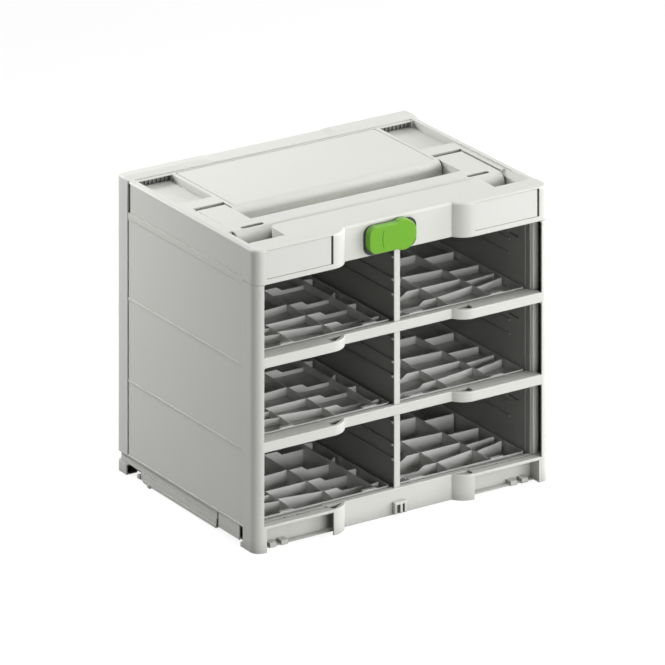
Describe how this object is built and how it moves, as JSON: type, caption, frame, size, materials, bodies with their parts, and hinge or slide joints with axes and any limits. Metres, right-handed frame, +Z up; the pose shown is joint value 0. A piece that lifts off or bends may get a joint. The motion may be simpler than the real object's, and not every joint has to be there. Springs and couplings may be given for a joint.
{
  "type": "router bit drawer box",
  "caption": "Free-standing stackable case with open-fronted bays, lift-out divided sorting trays, a fold-up carrying handle in the top and a turn latch on the front.",
  "frame": {"origin": "on the floor, under the middle of the case", "axes": "+X to the right as seen from the open front, +Y from front to back, +Z up"},
  "size_m": [0.396, 0.296, 0.337],
  "materials": {
    "case_plastic": "finely textured moulded plastic",
    "label_plastic": "smooth satin plastic",
    "lining_plastic": "satin moulded plastic",
    "tray_plastic": "satin moulded plastic",
    "divider_plastic": "satin moulded plastic",
    "latch_plastic": "satin moulded plastic",
    "latch_backing_plastic": "matt moulded plastic",
    "pin_steel": "turned steel"
  },
  "bodies": {
    "case": {"corner_post_left": "case_plastic", "corner_post_right": "case_plastic", "shelf_bar_lower": "case_plastic", "shelf_bar_upper": "case_plastic", "centre_posts": "case_plastic", "front_fascia": "case_plastic", "base_front": "case_plastic", "base_clip": "case_plastic", "base_pan": "case_plastic", "rear_feet": "case_plastic", "side_panel_left": "case_plastic", "side_panel_right": "case_plastic", "back_panel": "case_plastic", "top_cover": "case_plastic", "top_plate": "case_plastic", "label_plate_left": "label_plastic", "label_plate_right": "label_plastic", "side_liner_left": "lining_plastic", "side_liner_right": "lining_plastic", "back_liner": "lining_plastic", "ceiling_panel": "lining_plastic", "shelf_deck_lower": "lining_plastic", "shelf_deck_upper": "lining_plastic", "centre_partition_bottom": "lining_plastic", "centre_partition_middle": "lining_plastic", "centre_partition_top": "lining_plastic", "latch_backing": "latch_backing_plastic", "handle_pin_left": "pin_steel", "handle_pin_right": "pin_steel"},
    "handle": {"handle": "case_plastic"},
    "latch": {"latch_knob": "latch_plastic", "latch_spindle": "pin_steel", "latch_washer": "pin_steel"},
    "tray_bottom_left": {"tray_bottom_left": "tray_plastic", "dividers_bottom_left": "divider_plastic"},
    "tray_bottom_right": {"tray_bottom_right": "tray_plastic", "dividers_bottom_right": "divider_plastic"},
    "tray_middle_left": {"tray_middle_left": "tray_plastic", "dividers_middle_left": "divider_plastic"},
    "tray_middle_right": {"tray_middle_right": "tray_plastic", "dividers_middle_right": "divider_plastic"},
    "tray_top_left": {"tray_top_left": "tray_plastic", "dividers_top_left": "divider_plastic"},
    "tray_top_right": {"tray_top_right": "tray_plastic", "dividers_top_right": "divider_plastic"}
  },
  "joints": [
    {"name": "handle_hinge", "type": "hinge", "parent": "case", "child": "handle", "pos_m": [0, -0.0045, 0.32545], "axis": [-1, 0, 0], "range_deg": [0, 95]},
    {"name": "latch_turn", "type": "hinge", "parent": "case", "child": "latch", "pos_m": [0, -0.1425, 0.316], "axis": [0, 1, 0], "range_deg": [0, 90]},
    {"name": "tray_bottom_left_lift", "type": "slide", "parent": "case", "child": "tray_bottom_left", "axis": [0, 0, 1], "range_m": [0, 0.027]},
    {"name": "tray_bottom_right_lift", "type": "slide", "parent": "case", "child": "tray_bottom_right", "axis": [0, 0, 1], "range_m": [0, 0.027]},
    {"name": "tray_middle_left_lift", "type": "slide", "parent": "case", "child": "tray_middle_left", "axis": [0, 0, 1], "range_m": [0, 0.027]},
    {"name": "tray_middle_right_lift", "type": "slide", "parent": "case", "child": "tray_middle_right", "axis": [0, 0, 1], "range_m": [0, 0.027]},
    {"name": "tray_top_left_lift", "type": "slide", "parent": "case", "child": "tray_top_left", "axis": [0, 0, 1], "range_m": [0, 0.027]},
    {"name": "tray_top_right_lift", "type": "slide", "parent": "case", "child": "tray_top_right", "axis": [0, 0, 1], "range_m": [0, 0.027]}
  ]
}
